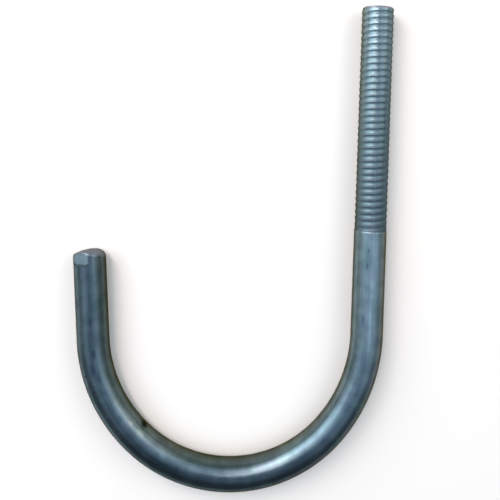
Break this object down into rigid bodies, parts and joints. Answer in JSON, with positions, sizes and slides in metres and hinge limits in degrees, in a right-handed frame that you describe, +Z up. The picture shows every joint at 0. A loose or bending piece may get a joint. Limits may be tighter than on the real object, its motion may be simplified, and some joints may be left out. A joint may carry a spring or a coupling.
{
  "type": "j bolt",
  "caption": "J-shaped hook bolt bent from one round steel rod: a long leg with a machine thread, a half-round hook, and a short plain leg with a sheared end. Zinc plated.",
  "frame": {"origin": "the middle of the bolt's bounding box, on the surface that it lies on", "axes": "+Y along the threaded leg towards its tip, +X from the short leg to the threaded leg, +Z up, square to the plane of the bend"},
  "size_m": [0.0616, 0.0963, 0.0063],
  "materials": {
    "zinc_plated_steel": "drawn steel with a thin blue-bright zinc plate, satin"
  },
  "bodies": {
    "root": {"j_bolt": "zinc_plated_steel"}
  },
  "joints": []
}
